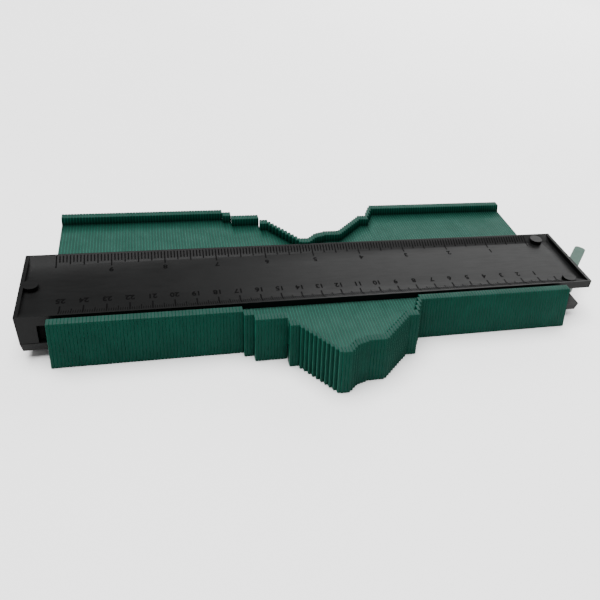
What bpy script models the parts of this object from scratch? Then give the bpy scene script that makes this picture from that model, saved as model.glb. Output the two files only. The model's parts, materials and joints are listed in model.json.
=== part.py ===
"""Contour gauge: a stack of thin plastic teeth that slide across a ruler body.

Lengths are in metres. X runs along the ruler, Y across it, away from the side
that the scales face, and Z up. The origin is the middle of the flat underside
of the lower cover.
"""
import math

import bmesh
import bpy
from mathutils import Matrix, Vector

MM = 0.001
CLEARANCE = 0.3 * MM

# Teeth: one I-shaped plate each, a web between two heads. The stack fans out: a
# tooth leans by so much length per length of drop, more towards the lock
PITCH = 1.5 * MM
TOOTH_TAPER = 0.15 * MM
TOOTH_OVERLAP = 0.02 * MM
GROUP_GAP = 0.1 * MM
FAN_LEFT = -0.022
FAN_RIGHT = 0.185
HEAD_THICKNESS = 4.1 * MM
HEAD_ABOVE = 1.0 * MM
HEAD_BELOW = 4.9 * MM
HEAD_CHAMFER = 0.45 * MM
TRAVEL = 34.7 * MM
STOP_GAP = 0.1 * MM

# Body
BODY_WIDTH = 46.4 * MM
LOWER_WALL = 4.5 * MM
UPPER_WALL = 3.3 * MM
SLOT_HEIGHT = 12.0 * MM
END_BLOCK = 8.7 * MM
CUSHION_BAY = 4.8 * MM
CUSHION_BAY_DROP = 2.0 * MM
CUSHION_INSET = 2.0 * MM
CLAMP_BAY = 16.7 * MM
CLAMP_BAY_DROP = 1.1 * MM
LOWER_COVER_SHORTER = 2.4 * MM
END_DRAFT = 0.7 * MM
LOWER_DRAFT = 0.7 * MM

# Tray on top of the upper cover
TRAY_DEPTH = 2.3 * MM
END_RIM = 1.8 * MM
RIM_EDGE = 0.4 * MM
SLOPE_WIDTH = 5.4 * MM
BOSS_RADIUS = 3.5 * MM
BOSS_FROM_SIDE = 4.9 * MM
BOSS_FROM_END = 4.5 * MM
POST_FROM_END = 10.8 * MM

# Screws, and the posts and bosses that they join
SCREW_SHANK_RADIUS = 1.3 * MM
SCREW_HEAD_RADIUS = 2.8 * MM
SCREW_HEAD_HEIGHT = 1.7 * MM
SCREW_HEAD_EDGE = 0.5 * MM
SCREW_LENGTH = 11.5 * MM
SCREW_POINT = 1.2 * MM
SCREW_TIP_RADIUS = 0.3 * MM
POST_RADIUS = 3.0 * MM
LOWER_BOSS_RADIUS = 3.5 * MM
LOWER_BOSS_HEIGHT = 3.4 * MM

# Friction strip in a groove of the lower cover
STRIP_WIDTH = 9.4 * MM
STRIP_THICKNESS = 1.0 * MM

# Lock: a cam lever that pushes a block and a steel plate against the stack
PLATE_THICKNESS = 1.2 * MM
PLATE_CLEARANCE = 0.4 * MM
CAM_RADIUS = 6.0 * MM
CAM_THROW = 0.6 * MM
PIVOT_FROM_END = 4.3 * MM
PIVOT_FROM_FRONT = 14.0 * MM
PIN_RADIUS = 2.0 * MM
PIN_SEAT_LOWER = 2.9 * MM
PIN_SEAT_UPPER = 1.1 * MM
PIN_EDGE = 0.4 * MM
LEVER_REACH = 33.0 * MM
LEVER_HALF_WIDTH = 3.1 * MM
LEVER_THICKNESS = 3.0 * MM
LEVER_BELOW_HUB = 0.2 * MM
LEVER_TIP_ROUND = 2.2 * MM
LEVER_FLARE = 3.0 * MM
LEVER_FLARE_LENGTH = 9.0 * MM
LEVER_FLARE_ROUND = 6.0 * MM
LEVER_FLARE_TURN = 60
LEVER_ANGLE = math.radians(46.0)


def rest_pose():
    """The stack at rest, in sections from the left end to the right.

    Each gives its number of teeth, the share of the travel that its first and its
    last tooth are pushed to the front, and about how many teeth one sliding group
    holds.
    """
    return [
        (56, 0.085, 0.085, 5),
        (3, 0.161, 0.161, 3),
        (10, 0.271, 0.271, 5),
        (3, 0.427, 0.427, 3),
        (10, 0.486, 0.985, 2),
        (3, 0.995, 0.995, 3),
        (3, 0.965, 0.885, 1),
        (3, 0.865, 0.840, 3),
        (6, 0.820, 0.820, 6),
        (10, 0.800, 0.440, 2),
        (4, 0.398, 0.398, 4),
        (3, 0.300, 0.140, 1),
        (56, 0.080, 0.080, 5),
    ]


# Levels and places that follow from the sizes above
TOOTH_COUNT = sum(section[0] for section in rest_pose())
STACK_LENGTH = TOOTH_COUNT * PITCH
BODY_LENGTH = END_BLOCK + CUSHION_BAY + STACK_LENGTH + CLAMP_BAY
LEFT_END = -BODY_LENGTH / 2
RIGHT_END = BODY_LENGTH / 2
STACK_START = LEFT_END + END_BLOCK + CUSHION_BAY
STACK_END = STACK_START + STACK_LENGTH
FRONT = -BODY_WIDTH / 2
BACK = BODY_WIDTH / 2
SLOT_FLOOR = LOWER_WALL
SLOT_ROOF = SLOT_FLOOR + SLOT_HEIGHT
RIM_TOP = SLOT_ROOF + UPPER_WALL
TRAY_FLOOR = RIM_TOP - TRAY_DEPTH
CUSHION_ROOF = SLOT_ROOF - CUSHION_BAY_DROP
BAY_ROOF = SLOT_ROOF - CLAMP_BAY_DROP
WEB_BOTTOM = SLOT_FLOOR + CLEARANCE
WEB_TOP = SLOT_ROOF - CLEARANCE
TOOTH_LENGTH = BODY_WIDTH + 2 * (HEAD_THICKNESS + STOP_GAP) + TRAVEL
POST_X = RIGHT_END - POST_FROM_END
POST_BOTTOM = SLOT_FLOOR + LOWER_BOSS_HEIGHT + CLEARANCE
END_SCREW = Vector((LEFT_END + BOSS_FROM_END, 0, 0))
FRONT_SCREW = Vector((POST_X, FRONT + BOSS_FROM_SIDE, 0))
BACK_SCREW = Vector((POST_X, BACK - BOSS_FROM_SIDE, 0))
SCREWS = [END_SCREW, FRONT_SCREW, BACK_SCREW]
PIVOT = Vector((RIGHT_END - PIVOT_FROM_END, FRONT + PIVOT_FROM_FRONT, 0))
HOLE_RADIUS = SCREW_SHANK_RADIUS + CLEARANCE
HEAD_SEAT = SCREW_HEAD_HEIGHT + 2 * CLEARANCE

# How far a cutter reaches past the face that it opens
PAST = 2 * MM


def clear_scene():
    for obj in list(bpy.data.objects):
        bpy.data.objects.remove(obj, do_unlink=True)


def make_collection(name):
    collection = bpy.data.collections.new(name)
    bpy.context.scene.collection.children.link(collection)
    return collection


def make_material(name, colour, roughness, metallic=0.0):
    material = bpy.data.materials.new(name)
    material.use_nodes = True
    shader = material.node_tree.nodes["Principled BSDF"]
    shader.inputs["Base Color"].default_value = (*colour, 1.0)
    shader.inputs["Roughness"].default_value = roughness
    shader.inputs["Metallic"].default_value = metallic
    return material


def mesh_from(bm, name):
    mesh = bpy.data.meshes.new(name)
    bm.to_mesh(mesh)
    bm.free()
    return mesh


def box_mesh(name, low, high, draft=0.0):
    """A box between two corners; draft pulls its bottom edges in."""
    low = Vector(low)
    high = Vector(high)
    bm = bmesh.new()
    bmesh.ops.create_cube(bm, size=1.0)
    size = high - low
    bmesh.ops.scale(bm, vec=size, verts=bm.verts)
    for vert in bm.verts:
        if vert.co.z < 0:
            vert.co.x -= math.copysign(draft, vert.co.x)
            vert.co.y -= math.copysign(draft, vert.co.y)
    bmesh.ops.translate(bm, vec=(high + low) / 2, verts=bm.verts)
    return mesh_from(bm, name)


def cylinder_mesh(name, radius, bottom, top, place, segments=32):
    bm = bmesh.new()
    bmesh.ops.create_cone(
        bm, cap_ends=True, segments=segments, radius1=radius, radius2=radius, depth=top - bottom
    )
    centre = Vector((place.x, place.y, (bottom + top) / 2))
    bmesh.ops.translate(bm, vec=centre, verts=bm.verts)
    return mesh_from(bm, name)


def turned_mesh(name, profile, steps=20):
    """Turn (radius, height) points, listed from the top down, about Z."""
    bm = bmesh.new()
    verts = [bm.verts.new((radius, 0, height)) for radius, height in profile]
    for start, end in zip(verts, verts[1:]):
        bm.edges.new((start, end))
    obj = bpy.data.objects.new(name, mesh_from(bm, name))
    bpy.context.scene.collection.objects.link(obj)
    screw = obj.modifiers.new("Turn", "SCREW")
    screw.steps = steps
    screw.render_steps = steps
    screw.use_merge_vertices = True
    screw.merge_threshold = 0.00001
    screw.use_smooth_shade = False
    return evaluated_mesh(obj, name)


def outline_mesh(name, points, thickness):
    """Extrude a closed flat outline in XY by a thickness, centred on Z = 0."""
    curve = bpy.data.curves.new(name, "CURVE")
    curve.dimensions = "2D"
    curve.fill_mode = "BOTH"
    curve.extrude = thickness / 2
    spline = curve.splines.new("POLY")
    spline.points.add(len(points) - 1)
    for point, (x, y) in zip(spline.points, points):
        point.co = (x, y, 0, 1)
    spline.use_cyclic_u = True
    obj = bpy.data.objects.new(name, curve)
    bpy.context.scene.collection.objects.link(obj)
    return evaluated_mesh(obj, name)


def evaluated_mesh(obj, name):
    """The object's final mesh, welded; the object itself is removed."""
    depsgraph = bpy.context.evaluated_depsgraph_get()
    mesh = bpy.data.meshes.new_from_object(obj.evaluated_get(depsgraph))
    mesh.name = name
    bm = bmesh.new()
    bm.from_mesh(mesh)
    bmesh.ops.remove_doubles(bm, verts=bm.verts, dist=0.000001)
    bmesh.ops.recalc_face_normals(bm, faces=bm.faces)
    bm.to_mesh(mesh)
    bm.free()
    bpy.data.objects.remove(obj, do_unlink=True)
    return mesh


def transformed(mesh, matrix):
    mesh.transform(matrix)
    return mesh


def union_mesh(name, meshes):
    """One solid made of overlapping meshes."""
    scene_objects = bpy.context.scene.collection.objects
    first = bpy.data.objects.new(name, meshes[0])
    scene_objects.link(first)
    others = make_collection(name + "_joined")
    for mesh in meshes[1:]:
        others.objects.link(bpy.data.objects.new(mesh.name, mesh))
    if len(meshes) > 1:
        modifier = first.modifiers.new("join", "BOOLEAN")
        modifier.operation = "UNION"
        modifier.solver = "EXACT"
        modifier.operand_type = "COLLECTION"
        modifier.collection = others
    result = evaluated_mesh(first, name)
    for obj in list(others.objects):
        bpy.data.objects.remove(obj, do_unlink=True)
    bpy.data.collections.remove(others)
    return result


def arc(centre, radius, start, end, steps):
    """Points on an arc, with both ends; angles are in degrees."""
    points = []
    for step in range(steps + 1):
        angle = math.radians(start + (end - start) * step / steps)
        points.append((centre[0] + radius * math.cos(angle), centre[1] + radius * math.sin(angle)))
    return points


class Builder:
    def __init__(self):
        clear_scene()
        self.parts = make_collection("contour_gauge")
        self.cutters = make_collection("cutters")
        self.black = make_material("black_plastic", (0.012, 0.012, 0.013), 0.32)
        self.green = make_material("green_plastic", (0.006, 0.10, 0.065), 0.45)
        self.pale_green = make_material("pale_green_plastic", (0.17, 0.32, 0.24), 0.45)
        self.rubber = make_material("rubber", (0.02, 0.02, 0.02), 0.85)
        self.steel = make_material("steel", (0.55, 0.55, 0.56), 0.35, 1.0)

    def part(self, name, mesh, material):
        obj = bpy.data.objects.new(name, mesh)
        mesh.materials.clear()
        mesh.materials.append(material)
        self.parts.objects.link(obj)
        return obj

    def tool(self, name, mesh):
        obj = bpy.data.objects.new(name, mesh)
        obj.hide_render = True
        obj.display_type = "WIRE"
        self.cutters.objects.link(obj)
        return obj

    def combine(self, obj, operation, name, mesh):
        modifier = obj.modifiers.new(name, "BOOLEAN")
        modifier.operation = operation
        modifier.solver = "EXACT"
        modifier.object = self.tool(name, mesh)

    def cut(self, obj, name, mesh):
        self.combine(obj, "DIFFERENCE", name, mesh)

    def add(self, obj, name, mesh):
        self.combine(obj, "UNION", name, mesh)


def side_profile_mesh(name, points, width):
    """Extrude an (x, z) outline across the body's width."""
    mesh = outline_mesh(name, points, width)
    return transformed(mesh, Matrix.Rotation(math.radians(90), 4, "X"))


def tray_cutter(build):
    """The hollow above the scales, with sloped long sides and round bosses left standing."""
    slope = TRAY_DEPTH / SLOPE_WIDTH
    floor_half = BODY_WIDTH / 2 - RIM_EDGE - SLOPE_WIDTH
    mouth_half = floor_half + (TRAY_DEPTH + PAST) / slope
    outline = [
        (-floor_half, TRAY_FLOOR),
        (floor_half, TRAY_FLOOR),
        (mouth_half, RIM_TOP + PAST),
        (-mouth_half, RIM_TOP + PAST),
    ]
    mesh = outline_mesh("tray_hollow", outline, BODY_LENGTH - 2 * END_RIM)
    to_body = Matrix(((0, 0, 1, 0), (1, 0, 0, 0), (0, 1, 0, 0), (0, 0, 0, 1)))
    cutter = build.tool("tray_hollow", transformed(mesh, to_body))
    for number, place in enumerate(SCREWS, 1):
        name = "tray_boss_%d" % number
        boss = cylinder_mesh(name, BOSS_RADIUS, TRAY_FLOOR - PAST, RIM_TOP + 2 * PAST, place)
        build.cut(cutter, name, boss)
    return cutter


def upper_cover(build):
    block_bottom = SLOT_FLOOR + CLEARANCE
    block_end = LEFT_END + END_BLOCK
    profile = [
        (LEFT_END + END_DRAFT, block_bottom),
        (block_end, block_bottom),
        (block_end, CUSHION_ROOF),
        (STACK_START - CLEARANCE, CUSHION_ROOF),
        (STACK_START - CLEARANCE, SLOT_ROOF),
        (STACK_END + 2 * CLEARANCE, SLOT_ROOF),
        (STACK_END + 2 * CLEARANCE, BAY_ROOF),
        (RIGHT_END, BAY_ROOF),
        (RIGHT_END, RIM_TOP),
        (LEFT_END, RIM_TOP),
    ]
    mesh = side_profile_mesh("upper_cover", profile, BODY_WIDTH)
    cover = build.part("upper_cover", mesh, build.black)
    tray = cover.modifiers.new("tray", "BOOLEAN")
    tray.operation = "DIFFERENCE"
    tray.solver = "EXACT"
    tray.object = tray_cutter(build)
    for name, place in (("front_post", FRONT_SCREW), ("back_post", BACK_SCREW)):
        build.add(cover, name, cylinder_mesh(name, POST_RADIUS, POST_BOTTOM, BAY_ROOF + PAST / 2, place))
    hole_top = SCREW_LENGTH + HEAD_SEAT + CLEARANCE
    for number, place in enumerate(SCREWS, 1):
        name = "upper_screw_hole_%d" % number
        build.cut(cover, name, cylinder_mesh(name, HOLE_RADIUS, SLOT_FLOOR - PAST, hole_top, place, 20))
    seat = cylinder_mesh(
        "upper_pin_seat", PIN_RADIUS + CLEARANCE, BAY_ROOF - PAST, BAY_ROOF + PIN_SEAT_UPPER, PIVOT, 20
    )
    build.cut(cover, "upper_pin_seat", seat)


def lower_cover(build):
    low = (LEFT_END + END_DRAFT, FRONT, 0)
    high = (RIGHT_END - LOWER_COVER_SHORTER, BACK, SLOT_FLOOR)
    cover = build.part("lower_cover", box_mesh("lower_cover", low, high, LOWER_DRAFT), build.black)
    boss_top = SLOT_FLOOR + LOWER_BOSS_HEIGHT
    for name, place in (("front_boss", FRONT_SCREW), ("back_boss", BACK_SCREW)):
        boss = cylinder_mesh(name, LOWER_BOSS_RADIUS, SLOT_FLOOR - PAST, boss_top, place)
        build.add(cover, name, boss)
    half = STRIP_WIDTH / 2 + CLEARANCE
    groove = box_mesh(
        "strip_groove",
        (STACK_START, -half, SLOT_FLOOR - STRIP_THICKNESS - CLEARANCE),
        (STACK_END - CLEARANCE, half, SLOT_FLOOR + PAST),
    )
    build.cut(cover, "strip_groove", groove)
    for number, place in enumerate(SCREWS, 1):
        hole_name = "lower_screw_hole_%d" % number
        hole = cylinder_mesh(hole_name, HOLE_RADIUS, -PAST, boss_top + PAST, place, 20)
        build.cut(cover, hole_name, hole)
        seat_name = "screw_head_seat_%d" % number
        seat_radius = SCREW_HEAD_RADIUS + CLEARANCE
        seat = cylinder_mesh(seat_name, seat_radius, -PAST, HEAD_SEAT, place, 24)
        build.cut(cover, seat_name, seat)
    pin_seat = cylinder_mesh(
        "lower_pin_seat", PIN_RADIUS + CLEARANCE, SLOT_FLOOR - PIN_SEAT_LOWER, SLOT_FLOOR + PAST, PIVOT, 20
    )
    build.cut(cover, "lower_pin_seat", pin_seat)


def friction_strip(build):
    half = STRIP_WIDTH / 2
    low = (STACK_START + CLEARANCE, -half, SLOT_FLOOR - STRIP_THICKNESS)
    high = (STACK_END - 2 * CLEARANCE, half, SLOT_FLOOR)
    build.part("friction_strip", box_mesh("friction_strip", low, high), build.rubber)


def stack_cushion(build):
    low = (LEFT_END + END_BLOCK + CLEARANCE, FRONT + CUSHION_INSET, WEB_BOTTOM)
    high = (STACK_START - 2 * CLEARANCE, BACK - CUSHION_INSET, CUSHION_ROOF - CLEARANCE)
    build.part("stack_cushion", box_mesh("stack_cushion", low, high), build.rubber)


def cover_screws(build):
    seat = HEAD_SEAT - CLEARANCE
    head_bottom = seat - SCREW_HEAD_HEIGHT
    tip = seat + SCREW_LENGTH
    profile = [
        (0, tip),
        (SCREW_TIP_RADIUS, tip),
        (SCREW_SHANK_RADIUS, tip - SCREW_POINT),
        (SCREW_SHANK_RADIUS, seat),
        (SCREW_HEAD_RADIUS, seat),
        (SCREW_HEAD_RADIUS, head_bottom + SCREW_HEAD_EDGE),
        (SCREW_HEAD_RADIUS - SCREW_HEAD_EDGE, head_bottom),
        (0, head_bottom),
    ]
    for number, place in enumerate(SCREWS, 1):
        name = "cover_screw_%d" % number
        screw = build.part(name, turned_mesh(name, profile), build.steel)
        screw.location = place


def cam_centre():
    """The cam's middle leads the lever by a quarter turn, so it pushes most when folded in."""
    lead = LEVER_ANGLE + math.radians(90)
    return Vector((CAM_THROW * math.cos(lead), CAM_THROW * math.sin(lead), 0))


def lock_lever(build):
    """Cam hub, flat arm with a rounded tip and a flare on its back side, bored for the pin."""
    hub_bottom = SLOT_FLOOR + CLEARANCE
    hub_top = BAY_ROOF - CLEARANCE
    throw = Vector((0, CAM_THROW, 0))
    mesh = cylinder_mesh("lock_lever", CAM_RADIUS, hub_bottom, hub_top, throw, 48)
    lever = build.part("lock_lever", mesh, build.pale_green)
    tip_centre = LEVER_REACH - LEVER_TIP_ROUND
    tip_side = LEVER_HALF_WIDTH - LEVER_TIP_ROUND
    outline = [(0, -LEVER_HALF_WIDTH)]
    outline += arc((tip_centre, -tip_side), LEVER_TIP_ROUND, -90, 0, 5)
    outline += arc((tip_centre, tip_side), LEVER_TIP_ROUND, 0, 90, 5)
    flare_centre = (CAM_RADIUS + LEVER_FLARE_LENGTH, LEVER_HALF_WIDTH + LEVER_FLARE_ROUND)
    outline += arc(flare_centre, LEVER_FLARE_ROUND, 270, 270 - LEVER_FLARE_TURN, 5)
    outline.append((0, LEVER_HALF_WIDTH + LEVER_FLARE))
    arm = outline_mesh("lever_arm", outline, LEVER_THICKNESS)
    arm_level = hub_top - LEVER_BELOW_HUB - LEVER_THICKNESS / 2
    arm = transformed(arm, Matrix.Translation((0, 0, arm_level)))
    build.add(lever, "lever_arm", arm)
    bore = cylinder_mesh(
        "lever_bore", PIN_RADIUS + CLEARANCE, hub_bottom - PAST, hub_top + PAST, Vector((0, 0, 0)), 24
    )
    build.cut(lever, "lever_bore", bore)
    pose = Matrix.Translation(PIVOT) @ Matrix.Rotation(LEVER_ANGLE, 4, "Z")
    lever.matrix_world = pose
    for name in ("lever_arm", "lever_bore"):
        bpy.data.objects[name].matrix_world = pose


def lever_pin(build):
    bottom = SLOT_FLOOR - PIN_SEAT_LOWER + CLEARANCE
    top = BAY_ROOF + PIN_SEAT_UPPER - CLEARANCE
    profile = [
        (0, top),
        (PIN_RADIUS - PIN_EDGE, top),
        (PIN_RADIUS, top - PIN_EDGE),
        (PIN_RADIUS, bottom + PIN_EDGE),
        (PIN_RADIUS - PIN_EDGE, bottom),
        (0, bottom),
    ]
    pin = transformed(turned_mesh("lever_pin", profile, 24), Matrix.Translation(PIVOT))
    build.part("lever_pin", pin, build.steel)


def lean(x):
    """How far the stack's layer at this place, given at the webs' top, leans per drop."""
    return FAN_LEFT + (FAN_RIGHT - FAN_LEFT) * (x - STACK_START) / STACK_LENGTH


def leaning_box_mesh(name, low, high, both_sides):
    """A box whose left side, or both, lies against the leaning end of the stack."""
    mesh = box_mesh(name, low, high)
    middle = (low[0] + high[0]) / 2
    for vert in mesh.vertices:
        if both_sides or vert.co.x < middle:
            vert.co.x += lean(STACK_END) * (WEB_TOP - vert.co.z)
    return mesh


def clamp(build):
    """A steel plate against the stack's end, and the block between it and the cam."""
    plate_front = STACK_END + PLATE_CLEARANCE
    plate_back = plate_front + PLATE_THICKNESS
    post_reach = BOSS_FROM_SIDE + LOWER_BOSS_RADIUS + 2 * CLEARANCE
    front = FRONT + post_reach
    back = BACK - post_reach
    top = BAY_ROOF - CLEARANCE
    plate = leaning_box_mesh(
        "pressure_plate", (plate_front, front, WEB_BOTTOM), (plate_back, back, top), True
    )
    build.part("pressure_plate", plate, build.steel)
    block_front = plate_back + CLEARANCE
    block_back = PIVOT.x + cam_centre().x - CAM_RADIUS - CLEARANCE
    block = leaning_box_mesh(
        "pressure_block", (block_front, front, WEB_BOTTOM), (block_back, back, top), False
    )
    build.part("pressure_block", block, build.black)


def tooth_outline(inset):
    """Corners (y, z) of the I-shaped tooth, with all its edges pulled in by the inset.

    The web is level with the slot, and the heads stand proud of both covers.
    """
    end = TOOTH_LENGTH / 2 - inset
    inner = TOOTH_LENGTH / 2 - HEAD_THICKNESS + inset
    web_top = WEB_TOP - inset
    web_bottom = WEB_BOTTOM + inset
    head_top = RIM_TOP + HEAD_ABOVE - inset
    head_bottom = -HEAD_BELOW + inset
    right = [
        (inner, web_top),
        (inner, head_top),
        (end - HEAD_CHAMFER, head_top),
        (end, head_top - HEAD_CHAMFER),
        (end, head_bottom + HEAD_CHAMFER),
        (end - HEAD_CHAMFER, head_bottom),
        (inner, head_bottom),
        (inner, web_bottom),
    ]
    return right + [(-y, z) for y, z in reversed(right)]


def tooth_mesh(name, place, width, origin):
    """One tooth: the moulded plate tapers from its left face to its right one, and leans."""
    left = place.x - PITCH / 2
    right = left + width
    bm = bmesh.new()
    full = [bm.verts.new((left, place.y + y, z)) for y, z in tooth_outline(0)]
    face = bm.faces.new(full)
    grown = bmesh.ops.extrude_face_region(bm, geom=[face])["geom"]
    far_face = next(item for item in grown if isinstance(item, bmesh.types.BMFace))
    small = tooth_outline(TOOTH_TAPER)
    for vert in far_face.verts:
        corner = min(range(len(full)), key=lambda index: (full[index].co - vert.co).length)
        y, z = small[corner]
        vert.co = (right, place.y + y, z)
    for vert in bm.verts:
        vert.co.x += lean(vert.co.x) * (WEB_TOP - vert.co.z)
    bmesh.ops.translate(bm, vec=-origin, verts=bm.verts)
    bmesh.ops.recalc_face_normals(bm, faces=bm.faces)
    return mesh_from(bm, name)


def tooth_places():
    """The middle of every tooth at the underside's level, in groups that slide as one."""
    furthest_back = TOOTH_LENGTH / 2 + FRONT - HEAD_THICKNESS - STOP_GAP
    groups = []
    number = 0
    for count, first, last, per_group in rest_pose():
        group_count = max(1, round(count / per_group))
        sizes = [len(range(part, count, group_count)) for part in range(group_count)]
        step = (last - first) / max(1, count - 1)
        done = 0
        for size in sizes:
            group = []
            for tooth in range(done, done + size):
                x = STACK_START + (number + tooth + 0.5) * PITCH
                y = furthest_back - TRAVEL * (first + step * tooth)
                group.append(Vector((x, y, 0)))
            groups.append(group)
            done += size
        number += count
    return groups


def teeth(build):
    """Groups of teeth that touch and slide together, each one solid with a step at every tooth."""
    for number, places in enumerate(tooth_places(), 1):
        name = "teeth_%02d" % number
        origin = sum(places, Vector()) / len(places)
        widths = [PITCH + TOOTH_OVERLAP] * (len(places) - 1) + [PITCH - GROUP_GAP]
        plates = [
            tooth_mesh(name + "_plate", place, width, origin) for place, width in zip(places, widths)
        ]
        group = build.part(name, union_mesh(name, plates), build.green)
        group.location = origin


def main():
    build = Builder()
    upper_cover(build)
    lower_cover(build)
    friction_strip(build)
    stack_cushion(build)
    clamp(build)
    lock_lever(build)
    lever_pin(build)
    cover_screws(build)
    teeth(build)


main()
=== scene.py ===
"""Looks of the contour gauge: separate teeth, moulded edges, scales, finishes, light and camera.

Lengths are in metres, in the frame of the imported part: X along the ruler
towards the lock lever, Y away from the centimetre scale, Z up. Angles are in
degrees.
"""

import json
import math
import random

import bmesh
import bpy
from mathutils import Matrix, Vector

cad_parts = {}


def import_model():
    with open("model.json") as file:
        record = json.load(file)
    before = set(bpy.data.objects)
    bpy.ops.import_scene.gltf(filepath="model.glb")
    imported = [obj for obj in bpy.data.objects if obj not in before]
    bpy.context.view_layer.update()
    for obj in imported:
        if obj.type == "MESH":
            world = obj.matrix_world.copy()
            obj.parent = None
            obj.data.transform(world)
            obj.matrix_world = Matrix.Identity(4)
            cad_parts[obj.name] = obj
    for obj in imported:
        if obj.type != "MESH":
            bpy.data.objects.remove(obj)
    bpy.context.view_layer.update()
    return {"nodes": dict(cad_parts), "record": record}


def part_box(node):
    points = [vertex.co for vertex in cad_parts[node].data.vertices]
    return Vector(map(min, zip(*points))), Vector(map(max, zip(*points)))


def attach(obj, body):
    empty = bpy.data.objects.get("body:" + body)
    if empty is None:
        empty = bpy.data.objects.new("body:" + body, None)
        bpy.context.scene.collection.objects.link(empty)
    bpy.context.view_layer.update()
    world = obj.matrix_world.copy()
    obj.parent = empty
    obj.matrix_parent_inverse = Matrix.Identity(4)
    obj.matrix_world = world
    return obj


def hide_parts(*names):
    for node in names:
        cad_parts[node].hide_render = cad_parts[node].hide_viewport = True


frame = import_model()
nodes = frame["nodes"]
bodies = frame["record"]["behaviour"]["bodies"]
body_of_node = {node: body for body, names in bodies.items() for node in names}
random.seed(12)

MM = 0.001

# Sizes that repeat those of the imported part
PITCH = 1.5 * MM
WEB_BOTTOM = 4.8 * MM
WEB_TOP = 16.2 * MM
HEAD_TOP = 20.8 * MM
FAN_LEFT = -0.022
FAN_RIGHT = 0.185
TRAY_DEPTH = 2.3 * MM
RIM_EDGE = 0.4 * MM
SLOPE_WIDTH = 5.4 * MM
SCREW_HEAD_HEIGHT = 1.7 * MM
SCREW_SHANK_RADIUS = 1.3 * MM
SCREW_POINT = 1.2 * MM
SCREW_TIP_RADIUS = 0.3 * MM

# Moulded pieces: flat faces are joined first, then the sharp edges are rounded
MERGE_DISTANCE = 0.002 * MM
FLAT_ANGLE = 1
MOULDED_ANGLE = 28

# Teeth: the heads are 0.04 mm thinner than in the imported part, so that they
# touch nothing at the ends of their slides
HEAD_THICKNESS = 4.06 * MM
HEAD_ROUND = 0.5 * MM
WEB_FILLET = 0.25 * MM
QUARTER_TURN = (0, 30, 60, 90)
TOOTH_EDGE = 0.16 * MM
TOOTH_OVERLAP = 0.002 * MM
GROUP_GAP = 0.02 * MM
WEB_TOLERANCE = 0.2 * MM
RAY_START = 1.0 * MM
TOOTH_SHARP_ANGLE = 50

# Tones of the teeth, which the green plastic reads: the flat faces of a tooth
# have one between 0 and the first, at random; its chamfered edges have the second,
# which the green plastic brightens into a painted glint
PLATE_TONE = 0.7
EDGE_GLINT = 1.0

# Band of the web in front of the far heads that darkens towards them with painted
# shade, down to this share of its colour, and how open it is where the painted shade ends
SHADED_BAND = 9.0 * MM
SHADED_COLOUR = 0.35
SHADE_END = 0.85

# Where a face of a tooth looks up, by the height of its normal, and where it is
# the top of a head, by its level; the green plastic paints a sheen on faces that
# look up, and another on the tops of the heads
LOOKS_UP = (0.35, 0.95)
HEAD_TOP_BAND = (HEAD_TOP - 1.5 * MM, HEAD_TOP - 0.8 * MM)

# Scales: the marks of the centimetre scale are one millimetre apart, and those
# of the inch scale go one inch further than its numbers
CM_ZERO = 125.3 * MM
INCH = 25.4 * MM
CM_COUNT = 25
INCH_COUNT = 9
CM_PARTS = 10
INCH_PARTS = 16
MARK_HEIGHT = 0.05 * MM
MARK_SUNK = 0.03 * MM
NEAR = -1
FAR = 1

# Marks in millimetres: every how many parts of a unit, the width, and how far
# from the long edge of the cover the mark starts and ends
CM_MARKS = ((10, 0.65, 1.4, 8.8), (5, 0.42, 1.4, 6.8), (1, 0.34, 1.4, 5.4))
INCH_MARKS = ((16, 0.60, 1.0, 8.2), (8, 0.62, 1.0, 6.4), (4, 0.60, 1.0, 5.6), (1, 0.60, 1.0, 4.6))

# Numbers of the scales, and how far from the long edge their middles are
DIGIT_SIZE = 4.3 * MM
DIGIT_WEIGHT = 0.14 * MM
DIGIT_STEPS = 4
DIGIT_MERGE = 0.001 * MM
CM_NUMBERS = 12.6 * MM
INCH_NUMBERS = 11.2 * MM

# Screws: the rounded rim of the head as millimetres in from its side and up
# from its underside, then the thread and the arms of the recess
TURN_STEPS = 40
TURN_SHARP_ANGLE = 30
HEAD_RIM = ((0.55, 0.0), (0.22, 0.12), (0.0, 0.5))
HEAD_CHAMFER = 0.1 * MM
THREAD_START = 0.4 * MM
THREAD_END = 1.6 * MM
THREAD_PITCH = 0.75 * MM
THREAD_WIDTH = 0.7 * MM
THREAD_MIDDLE = 0.35 * MM
THREAD_DEPTH = 0.22 * MM
POINT_TAPER = 0.15 * MM
RECESS_ARM = (3.1 * MM, 0.62 * MM, 1.9 * MM)
RECESS_TURN = 25

# Floor and studio
FLOOR_REACH = 3.0
FLOOR_GAP = 0.05 * MM
WORLD_STRENGTH = 0.35

# Camera, fitted to the rim and the teeth: focal length and centre in pixels of a
# 600 pixel wide frame, place in metres
IMAGE = 600
FOCAL = 652.83
CENTRE = (323.44, 260.22)
EYE = (-0.08397, -0.25628, 0.21214)
YAW = 17.947
PITCH_DOWN = 34.753
ROLL = 7.632
SENSOR_WIDTH = 36
NEAREST = 0.01


def new_object(name, data):
    """An object of the scene that holds a mesh, curve, light or camera."""
    obj = bpy.data.objects.new(name, data)
    bpy.context.scene.collection.objects.link(obj)
    return obj


def plain_mesh(bm, name):
    """A mesh with the shape as it was built."""
    mesh = bpy.data.meshes.new(name)
    bm.to_mesh(mesh)
    bm.free()
    return mesh


def smooth_mesh(bm, name, sharp_angle=35):
    """A mesh with smooth faces, and its edges sharp above an angle."""
    bmesh.ops.recalc_face_normals(bm, faces=bm.faces)
    for face in bm.faces:
        face.smooth = True
    limit = math.radians(sharp_angle)
    for edge in bm.edges:
        edge.smooth = len(edge.link_faces) == 2 and edge.calc_face_angle(0) < limit
    return plain_mesh(bm, name)


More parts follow.
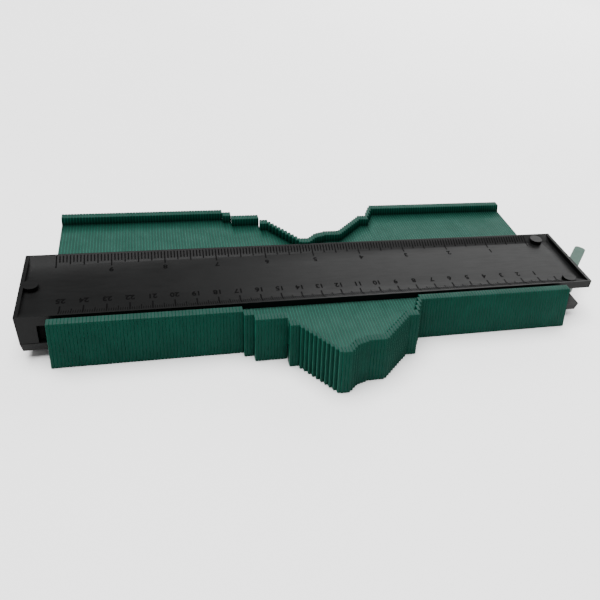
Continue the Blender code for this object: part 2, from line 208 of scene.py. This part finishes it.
def evaluated_mesh(obj):
    """A mesh of a text, or of an object with its modifiers."""
    depsgraph = bpy.context.evaluated_depsgraph_get()
    return bpy.data.meshes.new_from_object(obj.evaluated_get(depsgraph))


def join_rings(bm, first, second):
    """A strip of faces between two rings with the same number of vertices."""
    faces = []
    for index in range(len(first)):
        after = (index + 1) % len(first)
        faces.append(bm.faces.new((first[index], first[after], second[after], second[index])))
    return faces


def close_ends(bm, rings):
    """Faces that fill the first and the last ring."""
    return [bm.faces.new(rings[0]), bm.faces.new(rings[-1][::-1])]


# Materials


class Material:
    """A small helper to wire up a Principled shader."""

    # Range in which most values of a noise lie
    NOISE_RANGE = (0.3, 0.7)

    def __init__(self, name):
        self.material = bpy.data.materials.new(name)
        self.material.use_nodes = True
        self.nodes = self.material.node_tree.nodes
        self.links = self.material.node_tree.links
        self.shader = self.nodes["Principled BSDF"]
        self.place = self.nodes.new("ShaderNodeTexCoord").outputs["Object"]

    def set(self, **values):
        """Set sockets of the shader; an underscore stands for a space in a socket's name."""
        for name, value in values.items():
            self.shader.inputs[name.replace("_", " ")].default_value = value
        return self

    def scaled(self, scale):
        """The place on the object, with each axis scaled."""
        node = self.nodes.new("ShaderNodeMapping")
        node.inputs["Scale"].default_value = scale
        self.links.new(self.place, node.inputs["Vector"])
        return node.outputs["Vector"]

    def noise(self, scale, detail=3.0, roughness=0.5, stretch=None):
        node = self.nodes.new("ShaderNodeTexNoise")
        node.inputs["Scale"].default_value = scale
        node.inputs["Detail"].default_value = detail
        node.inputs["Roughness"].default_value = roughness
        source = self.scaled(stretch) if stretch else self.place
        self.links.new(source, node.inputs["Vector"])
        return node.outputs["Fac"]

    def voronoi(self, scale):
        node = self.nodes.new("ShaderNodeTexVoronoi")
        node.inputs["Scale"].default_value = scale
        self.links.new(self.place, node.inputs["Vector"])
        return node.outputs["Distance"]

    def ramp(self, factor, stops):
        """Colours along a factor; a stop's colour is three numbers, or one for a grey."""
        node = self.nodes.new("ShaderNodeValToRGB")
        elements = node.color_ramp.elements
        while len(elements) < len(stops):
            elements.new(0.5)
        for element, (position, colour) in zip(elements, stops):
            rgb = colour if isinstance(colour, tuple) else (colour, colour, colour)
            element.position = position
            element.color = (*rgb, 1.0)
        self.links.new(factor, node.inputs["Fac"])
        return node.outputs["Color"]

    def cloudy(self, noise, dark, light):
        """A colour that varies between two with a noise."""
        low, high = self.NOISE_RANGE
        return self.ramp(noise, [(low, dark), (high, light)])

    def mix(self, first, second, factor, blend="MIX"):
        """Two colours mixed by a socket or a number."""
        node = self.nodes.new("ShaderNodeMix")
        node.data_type = "RGBA"
        node.blend_type = blend
        for socket, value in (("A", first), ("B", second), ("Factor", factor)):
            target = [item for item in node.inputs if item.name == socket and item.enabled][0]
            if isinstance(value, bpy.types.NodeSocket):
                self.links.new(value, target)
            else:
                target.default_value = value
        return [item for item in node.outputs if item.enabled][0]

    def range(self, factor, low, high, source=(0.0, 1.0)):
        """A number from low to high, while the factor goes through its source range."""
        node = self.nodes.new("ShaderNodeMapRange")
        node.inputs["From Min"].default_value = source[0]
        node.inputs["From Max"].default_value = source[1]
        node.inputs["To Min"].default_value = low
        node.inputs["To Max"].default_value = high
        self.links.new(factor, node.inputs["Value"])
        return node.outputs["Result"]

    def math(self, operation, first, second):
        """A sum or product of two sockets."""
        node = self.nodes.new("ShaderNodeMath")
        node.operation = operation
        self.links.new(first, node.inputs[0])
        self.links.new(second, node.inputs[1])
        return node.outputs["Value"]

    def height(self):
        """The level of the place on the object."""
        node = self.nodes.new("ShaderNodeSeparateXYZ")
        self.links.new(self.place, node.inputs["Vector"])
        return node.outputs["Z"]

    def attribute(self, name):
        """A value stored on the mesh."""
        node = self.nodes.new("ShaderNodeAttribute")
        node.attribute_name = name
        return node.outputs["Fac"]

    def facing_up(self):
        """The height of the surface's normal, which is 1 where it looks straight up."""
        node = self.nodes.new("ShaderNodeNewGeometry")
        split = self.nodes.new("ShaderNodeSeparateXYZ")
        self.links.new(node.outputs["Normal"], split.inputs["Vector"])
        return split.outputs["Z"]

    def colour(self, socket):
        self.links.new(socket, self.shader.inputs["Base Color"])

    def rough(self, socket):
        self.links.new(socket, self.shader.inputs["Roughness"])

    def bump(self, height, strength, distance):
        node = self.nodes.new("ShaderNodeBump")
        node.inputs["Strength"].default_value = strength
        node.inputs["Distance"].default_value = distance
        self.links.new(height, node.inputs["Height"])
        self.links.new(node.outputs["Normal"], self.shader.inputs["Normal"])


def black_plastic():
    """Moulded, fairly glossy black plastic with a fine grain and light rub marks."""
    look = Material("black_plastic").set(Specular_IOR_Level=0.10)
    grain = look.noise(2600, detail=2)
    rub = look.noise(90, detail=5, roughness=0.6, stretch=(1.0, 7.0, 7.0))
    look.colour(look.cloudy(look.noise(40), (0.0024, 0.0025, 0.0025), (0.0038, 0.0039, 0.0039)))
    polish = look.range(rub, 0.34, 0.46, source=look.NOISE_RANGE)
    look.rough(look.math("ADD", polish, look.range(grain, -0.03, 0.03)))
    look.bump(grain, strength=0.10, distance=0.08 * MM)
    return look.material


def mark_plastic():
    """The raised graduations, rougher and darker than the face that they stand on."""
    look = Material("mark_plastic").set(Specular_IOR_Level=0.02)
    cloud = look.noise(700)
    look.colour(look.cloudy(cloud, (0.0012, 0.0012, 0.0013), (0.0022, 0.0022, 0.0022)))
    look.rough(look.range(cloud, 0.55, 0.75))
    look.bump(look.noise(3000, detail=2), strength=0.10, distance=0.05 * MM)
    return look.material


def green_plastic():
    """Semi-matt dark green, with a slight tone of its own on each tooth, and a
    painted glint on the chamfered edges of the plates.

    Open faces that look up carry a painted sheen, the tops of the heads are paler
    with a painted sheen of their own, and the web darkens with painted shade where it meets the far
    heads.
    """
    look = Material("green_plastic").set(Specular_IOR_Level=0.03)
    cloud = look.noise(120, detail=4, roughness=0.55)
    plain = look.cloudy(cloud, (0.0016, 0.0300, 0.0200), (0.0022, 0.0370, 0.0248))
    # Painted sheen: a lighter, greyer green for open faces that look up
    painted_sheen = look.cloudy(cloud, (0.0110, 0.0360, 0.0275), (0.0150, 0.0440, 0.0345))
    # Painted sheen on the tops of the heads, paler than the plain green
    pale = look.cloudy(cloud, (0.0120, 0.0340, 0.0270), (0.0155, 0.0420, 0.0340))
    up = look.range(look.facing_up(), 0.0, 1.0, source=LOOKS_UP)
    top = look.range(look.height(), 0.0, 1.0, source=HEAD_TOP_BAND)
    # The painted sheen is left out where the painted shade in front of the far heads falls
    body = look.mix(plain, painted_sheen, look.math("MULTIPLY", up, look.attribute("open")))
    body = look.mix(body, pale, look.math("MULTIPLY", top, up))
    # Each plate's own random tone, and a painted glint on its chamfered edges
    tone = look.ramp(look.attribute("tone"), [(0.0, 0.92), (PLATE_TONE, 0.98), (EDGE_GLINT, 2.3)])
    body = look.mix(body, tone, 1.0, "MULTIPLY")
    # Painted shade on the web where it meets the far heads
    shade = look.range(look.attribute("open"), SHADED_COLOUR, 1.0, source=(0.0, SHADE_END))
    look.colour(look.mix(body, shade, 1.0, "MULTIPLY"))
    streak = look.noise(60, detail=4, roughness=0.6, stretch=(6.0, 6.0, 1.0))
    look.rough(look.range(streak, 0.40, 0.47, source=look.NOISE_RANGE))
    look.bump(look.noise(2200), strength=0.12, distance=0.06 * MM)
    return look.material


def pale_green_plastic():
    """The lever's grey green, a little glossier than the teeth."""
    look = Material("pale_green_plastic").set(Specular_IOR_Level=0.12)
    cloud = look.noise(90, detail=4, roughness=0.55)
    look.colour(look.cloudy(cloud, (0.019, 0.044, 0.033), (0.026, 0.056, 0.043)))
    look.rough(look.range(look.noise(300, detail=4), 0.34, 0.48, source=look.NOISE_RANGE))
    look.bump(look.noise(2200), strength=0.10, distance=0.06 * MM)
    return look.material


def rubber():
    """Black foam rubber with small open cells, darkened further as painted shade of the recess that it
    sits in.
    """
    look = Material("foam_rubber").set(Specular_IOR_Level=0.05)
    cells = look.voronoi(2600)
    # Darker than the rubber itself: painted shade of its recess
    look.colour(look.ramp(cells, [(0.1, (0.0012, 0.0012, 0.0012)), (0.6, (0.0030, 0.0030, 0.0029))]))
    look.rough(look.range(cells, 0.95, 0.75))
    look.bump(cells, strength=0.50, distance=0.10 * MM)
    return look.material


def steel():
    """Zinc plated steel, with brush lines."""
    look = Material("zinc_steel").set(Metallic=1.0)
    lines = look.noise(500, detail=5, roughness=0.6, stretch=(0.1, 1.0, 3.0))
    look.colour(look.cloudy(look.noise(160), (0.52, 0.52, 0.53), (0.63, 0.63, 0.64)))
    look.rough(look.range(lines, 0.22, 0.42, source=look.NOISE_RANGE))
    look.bump(lines, strength=0.12, distance=0.05 * MM)
    return look.material


def pale_floor():
    """Matt, nearly white studio floor."""
    look = Material("pale_floor").set(Roughness=0.75, Specular_IOR_Level=0.2)
    look.colour(look.cloudy(look.noise(6), 0.86, 0.88))
    return look.material


finish = {
    "black_plastic": black_plastic(),
    "green_plastic": green_plastic(),
    "pale_green_plastic": pale_green_plastic(),
    "rubber": rubber(),
    "steel": steel(),
}
marks_finish = mark_plastic()


def dress(obj, slot, material=None):
    """Give a piece the finish of its slot, or another finish in its place."""
    obj.data.materials.clear()
    obj.data.materials.append(material or finish[slot])


# Moulded pieces


def clean_copy(node):
    """The node's shape with its flat faces whole again."""
    bm = bmesh.new()
    bm.from_mesh(nodes[node].data)
    bmesh.ops.remove_doubles(bm, verts=bm.verts, dist=MERGE_DISTANCE)
    bmesh.ops.dissolve_limit(bm, angle_limit=math.radians(FLAT_ANGLE), verts=bm.verts, edges=bm.edges)
    return bm


def moulded(node, slot, radius, segments=2):
    """A copy of a node with rounded edges, in the node's place."""
    name = node + "_moulded"
    obj = new_object(name, smooth_mesh(clean_copy(node), name, MOULDED_ANGLE))
    bevel = obj.modifiers.new("edges", "BEVEL")
    bevel.width = radius
    bevel.segments = segments
    bevel.limit_method = "ANGLE"
    bevel.angle_limit = math.radians(MOULDED_ANGLE)
    bevel.use_clamp_overlap = True
    bevel.harden_normals = True
    dress(obj, slot)
    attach(obj, body_of_node[node])
    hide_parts(node)


moulded("upper_cover", "black_plastic", radius=0.28 * MM)
moulded("lower_cover", "black_plastic", radius=0.30 * MM)
moulded("lock_lever", "pale_green_plastic", radius=0.35 * MM, segments=3)
moulded("pressure_block", "black_plastic", radius=0.30 * MM)
moulded("pressure_plate", "steel", radius=0.12 * MM)
moulded("stack_cushion", "rubber", radius=0.30 * MM)
dress(nodes["friction_strip"], "rubber")
dress(nodes["lever_pin"], "steel")


# Teeth


def web_ends(name):
    """Where the webs of a group begin and end along the ruler, at their top."""
    vertices = nodes[name].data.vertices
    level = [vert.co.x for vert in vertices if abs(vert.co.z - WEB_TOP) < WEB_TOLERANCE]
    return min(level), max(level)


tooth_names = sorted(name for name in nodes if name.startswith("teeth_"))
STACK_START = web_ends(tooth_names[0])[0]
STACK_END = web_ends(tooth_names[-1])[1]


def lean(x):
    """How far the stack's layer at this place leans per drop below the webs' top."""
    return FAN_LEFT + (FAN_RIGHT - FAN_LEFT) * (x - STACK_START) / (STACK_END - STACK_START)


def tooth_profile(low, high, inset):
    """Outline of a tooth between two corners of its box, as points (y, z, open).

    Open is 1, and falls to 0 where the top of the web meets the far head; there the
    green plastic paints shade and leaves out its painted sheen.
    """
    points = []

    def arc(y, z, radius, start, sense, is_open):
        for turn in QUARTER_TURN:
            angle = math.radians(start + sense * turn)
            points.append((y + radius * math.cos(angle), z + radius * math.sin(angle), is_open))

    def corner(y, z, start):
        arc(y, z, HEAD_ROUND - inset, start, 1, 1)

    def fillet(y, z, start, is_open=1):
        arc(y, z, WEB_FILLET + inset, start, -1, is_open)

    near = low[0] + HEAD_ROUND
    near_inner = low[0] + HEAD_THICKNESS - HEAD_ROUND
    near_web = low[0] + HEAD_THICKNESS + WEB_FILLET
    far_web = high[0] - HEAD_THICKNESS - WEB_FILLET
    far_inner = high[0] - HEAD_THICKNESS + HEAD_ROUND
    far = high[0] - HEAD_ROUND
    bottom = low[1] + HEAD_ROUND
    top = high[1] - HEAD_ROUND

    corner(near, bottom, 180)
    corner(near_inner, bottom, 270)
    fillet(near_web, WEB_BOTTOM - WEB_FILLET, 180)
    fillet(far_web, WEB_BOTTOM - WEB_FILLET, 90)
    corner(far_inner, bottom, 180)
    corner(far, bottom, 270)
    corner(far, top, 0)
    corner(far_inner, top, 90)
    fillet(far_web, WEB_TOP + WEB_FILLET, 0, is_open=0)
    # The painted shade on the web fades out over this band in front of the far head
    points.append((far_web - SHADED_BAND, WEB_TOP - inset, 1))
    fillet(near_web, WEB_TOP + WEB_FILLET, 270)
    corner(near_inner, top, 0)
    corner(near, top, 90)
    return points


def add_tooth(bm, left, right, low, high):
    """One plate with chamfered edges; its tone is stored on its faces, and open on its vertices."""
    tone_layer = bm.faces.layers.float["tone"]
    open_layer = bm.verts.layers.float["open"]
    tone = PLATE_TONE * random.random()
    sections = (
        (left, TOOTH_EDGE),
        (left + TOOTH_EDGE, 0),
        (right - TOOTH_EDGE, 0),
        (right, TOOTH_EDGE),
    )
    rings = []
    for x, inset in sections:
        inset_low = (low[0] + inset, low[1] + inset)
        inset_high = (high[0] - inset, high[1] - inset)
        ring = []
        for y, z, is_open in tooth_profile(inset_low, inset_high, inset):
            vert = bm.verts.new((x + lean(x) * (WEB_TOP - z), y, z))
            vert[open_layer] = is_open
            ring.append(vert)
        rings.append(ring)
    for face in close_ends(bm, rings):
        face[tone_layer] = tone
    # The chamfered strips get the tone that the green plastic paints as a glint
    for first, second, strip_tone in zip(rings, rings[1:], (EDGE_GLINT, tone, EDGE_GLINT)):
        for face in join_rings(bm, first, second):
            face[tone_layer] = strip_tone


def side_of(node, x, y, z, direction):
    """Where a ray along Y meets a node."""
    return node.ray_cast(Vector((x, y, z)), Vector((0, direction, 0)))[1].y


def teeth():
    """Separate plates in the place of each group of teeth."""
    level = (WEB_BOTTOM + WEB_TOP) / 2
    for name in tooth_names:
        node = nodes[name]
        low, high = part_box(name)
        start, end = web_ends(name)
        bm = bmesh.new()
        bm.faces.layers.float.new("tone")
        bm.verts.layers.float.new("open")
        count = round((end - start) / PITCH)
        for number in range(count):
            left = start + number * PITCH
            right = left + PITCH + (TOOTH_OVERLAP if number < count - 1 else -GROUP_GAP)
            middle = left + PITCH / 2
            middle += lean(middle) * (WEB_TOP - level)
            front = side_of(node, middle, low.y - RAY_START, level, 1)
            back = side_of(node, middle, high.y + RAY_START, level, -1)
            add_tooth(bm, left, right, (front, low.z), (back, high.z))
        piece = name + "_plates"
        obj = new_object(piece, smooth_mesh(bm, piece, TOOTH_SHARP_ANGLE))
        dress(obj, "green_plastic")
        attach(obj, name)
        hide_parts(name)


teeth()


# Scales

cover_low, cover_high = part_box("upper_cover")
RIM_TOP = cover_high.z
TRAY_FLOOR = RIM_TOP - TRAY_DEPTH
FRONT = cover_low.y
BACK = cover_high.y


def surface_height(distance):
    """Level of the tray at a distance from the long edge of the cover."""
    if distance < RIM_EDGE:
        return RIM_TOP
    return max(TRAY_FLOOR, RIM_TOP - TRAY_DEPTH * (distance - RIM_EDGE) / SLOPE_WIDTH)


def add_mark(bm, x, width, start, end, side):
    """A raised line across the tray, between two distances from the near or far edge."""
    half = width / 2
    section = ((-half, -MARK_SUNK), (-half, MARK_HEIGHT), (half, MARK_HEIGHT), (half, -MARK_SUNK))
    knee = RIM_EDGE + SLOPE_WIDTH
    stops = [start, knee, end] if start < knee < end else [start, end]
    rings = []
    for distance in stops:
        y = FRONT + distance if side == NEAR else BACK - distance
        z = surface_height(distance)
        rings.append([bm.verts.new((x + across, y, z + up)) for across, up in section])
    close_ends(bm, rings)
    for first, second in zip(rings, rings[1:]):
        join_rings(bm, first, second)


def add_scale(bm, count, spacing, marks, side):
    """The marks of one scale, each with the first size whose number of parts fits."""
    for tick in range(count):
        width, start, end = next(sizes for every, *sizes in marks if tick % every == 0)
        add_mark(bm, CM_ZERO - tick * spacing, width * MM, start * MM, end * MM, side)


def scale_marks():
    """The raised lines of both scales."""
    bm = bmesh.new()
    add_scale(bm, CM_COUNT * CM_PARTS + 1, MM, CM_MARKS, NEAR)
    add_scale(bm, (INCH_COUNT + 1) * INCH_PARTS + 1, INCH / INCH_PARTS, INCH_MARKS, FAR)
    obj = new_object("scale_marks", smooth_mesh(bm, "scale_marks"))
    dress(obj, "black_plastic", marks_finish)
    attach(obj, "body")


def number_mesh(text):
    """A number in a plain type, about its middle."""
    curve = bpy.data.curves.new("number", "FONT")
    curve.body = text
    curve.size = DIGIT_SIZE
    curve.extrude = (MARK_HEIGHT + MARK_SUNK) / 2
    curve.offset = DIGIT_WEIGHT
    curve.align_x = "CENTER"
    curve.align_y = "CENTER"
    curve.resolution_u = DIGIT_STEPS
    obj = new_object("number", curve)
    mesh = evaluated_mesh(obj)
    bpy.data.objects.remove(obj, do_unlink=True)
    return mesh


def scale_numbers():
    """Numbers of both scales, which are read from the far side."""
    bm = bmesh.new()
    level = TRAY_FLOOR + (MARK_HEIGHT - MARK_SUNK) / 2
    turn = Matrix.Rotation(math.pi, 4, "Z")
    places = []
    for number in range(1, CM_COUNT + 1):
        places.append((number, CM_ZERO - number * CM_PARTS * MM, FRONT + CM_NUMBERS))
    for number in range(1, INCH_COUNT + 1):
        places.append((number, CM_ZERO - number * INCH, BACK - INCH_NUMBERS))
    for number, x, y in places:
        mesh = number_mesh(str(number))
        mesh.transform(Matrix.Translation((x, y, level)) @ turn)
        bm.from_mesh(mesh)
    bmesh.ops.remove_doubles(bm, verts=bm.verts, dist=DIGIT_MERGE)
    obj = new_object("scale_numbers", smooth_mesh(bm, "scale_numbers"))
    dress(obj, "black_plastic", marks_finish)
    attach(obj, "body")


scale_marks()
scale_numbers()


# Screws


def turned(name, profile, place):
    """A solid turned from points (radius, z) about the upright line through a place."""
    bm = bmesh.new()
    rings = []
    for radius, z in profile:
        ring = []
        for step in range(TURN_STEPS):
            angle = 2 * math.pi * step / TURN_STEPS
            x = place.x + radius * math.cos(angle)
            y = place.y + radius * math.sin(angle)
            ring.append(bm.verts.new((x, y, z)))
        rings.append(ring)
    for first, second in zip(rings, rings[1:]):
        join_rings(bm, first, second)
    close_ends(bm, rings)
    return smooth_mesh(bm, name, TURN_SHARP_ANGLE)


def screw_profile(radius, bottom, top):
    """Half section of a screw: pan head, grooved shank and blunt point."""
    shoulder = bottom + SCREW_HEAD_HEIGHT
    profile = [(radius - inward * MM, bottom + rise * MM) for inward, rise in HEAD_RIM]
    profile += [
        (radius, shoulder - HEAD_CHAMFER),
        (radius - HEAD_CHAMFER, shoulder),
        (SCREW_SHANK_RADIUS, shoulder),
    ]
    z = shoulder + THREAD_START
    while z < top - THREAD_END:
        profile += [
            (SCREW_SHANK_RADIUS, z),
            (SCREW_SHANK_RADIUS - THREAD_DEPTH, z + THREAD_MIDDLE),
            (SCREW_SHANK_RADIUS, z + THREAD_WIDTH),
        ]
        z += THREAD_PITCH
    profile += [(SCREW_SHANK_RADIUS - POINT_TAPER, top - SCREW_POINT), (SCREW_TIP_RADIUS, top)]
    return profile


def cut_recess(obj, x, y, z, turn):
    """Take one arm of the cross recess out of a screw's head."""
    cutter = bmesh.new()
    bmesh.ops.create_cube(cutter, size=1)
    bmesh.ops.scale(cutter, vec=RECESS_ARM, verts=cutter.verts)
    spin = Matrix.Rotation(math.radians(turn), 4, "Z")
    bmesh.ops.transform(cutter, matrix=Matrix.Translation((x, y, z)) @ spin, verts=cutter.verts)
    tool = new_object("recess", plain_mesh(cutter, "recess"))
    cut = obj.modifiers.new("recess", "BOOLEAN")
    cut.operation = "DIFFERENCE"
    cut.solver = "EXACT"
    cut.object = tool
    result = evaluated_mesh(obj)
    obj.modifiers.clear()
    obj.data = result
    bpy.data.objects.remove(tool, do_unlink=True)


def cover_screws():
    """Pan heads with a cross recess in the underside, in the places of the plain ones."""
    for number in (1, 2, 3):
        node = "cover_screw_%d" % number
        low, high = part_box(node)
        place = (low + high) / 2
        name = node + "_head"
        profile = screw_profile((high.x - low.x) / 2, low.z, high.z)
        obj = new_object(name, turned(name, profile, place))
        for turn in (0, 90):
            cut_recess(obj, place.x, place.y, low.z, turn + RECESS_TURN * number)
        dress(obj, "steel")
        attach(obj, "body")
        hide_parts(node)


cover_screws()


# Floor, light and camera


def floor():
    """A pale floor just under the heads, which the tool stands on."""
    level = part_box("teeth_01")[0].z - FLOOR_GAP
    bm = bmesh.new()
    corners = [(-1, -1), (1, -1), (1, 1), (-1, 1)]
    bm.faces.new([bm.verts.new((x * FLOOR_REACH, y * FLOOR_REACH, level)) for x, y in corners])
    obj = new_object("floor", plain_mesh(bm, "floor"))
    obj.data.materials.append(pale_floor())


def world():
    """Even white light from all round."""
    surroundings = bpy.data.worlds.new("studio")
    bpy.context.scene.world = surroundings
    surroundings.use_nodes = True
    background = surroundings.node_tree.nodes["Background"]
    background.inputs["Color"].default_value = (1, 1, 1, 1)
    background.inputs["Strength"].default_value = WORLD_STRENGTH


def soft_sun(name, direction, strength, spread):
    """Even light from far away, in the direction given from the object, with soft shadows."""
    light = bpy.data.lights.new(name, "SUN")
    light.energy = strength
    light.angle = math.radians(spread)
    obj = new_object(name, light)
    obj.rotation_euler = Vector(direction).to_track_quat("Z", "Y").to_euler()


def softbox(name, place, width, depth, energy):
    """A rectangular light that faces the part's origin."""
    light = bpy.data.lights.new(name, "AREA")
    light.shape = "RECTANGLE"
    light.size = width
    light.size_y = depth
    light.energy = energy
    obj = new_object(name, light)
    obj.location = place
    obj.rotation_euler = Vector(place).to_track_quat("Z", "Y").to_euler()


def camera():
    """A plain perspective camera at the photo's viewpoint, with its centre shifted."""
    yaw, down, roll = (math.radians(angle) for angle in (YAW, PITCH_DOWN, ROLL))
    forward = Vector((math.sin(yaw) * math.cos(down), math.cos(yaw) * math.cos(down), -math.sin(down)))
    right = Vector((math.cos(yaw), -math.sin(yaw), 0))
    up = right.cross(forward)
    side = math.cos(roll) * right + math.sin(roll) * up
    top = -math.sin(roll) * right + math.cos(roll) * up
    data = bpy.data.cameras.new("camera")
    data.sensor_width = SENSOR_WIDTH
    data.lens = FOCAL / IMAGE * SENSOR_WIDTH
    data.shift_x = (IMAGE / 2 - CENTRE[0]) / IMAGE
    data.shift_y = (CENTRE[1] - IMAGE / 2) / IMAGE
    data.clip_start = NEAREST
    obj = new_object("camera", data)
    axes = Matrix((side, top, -forward)).transposed().to_4x4()
    obj.matrix_world = Matrix.Translation(EYE) @ axes
    bpy.context.scene.camera = obj


floor()
world()
soft_sun("overhead", direction=(-0.15, 0.05, 1.0), strength=8.5, spread=50)
softbox("right_softbox", place=(0.62, 0.70, 0.52), width=1.1, depth=0.7, energy=9.0)
camera()
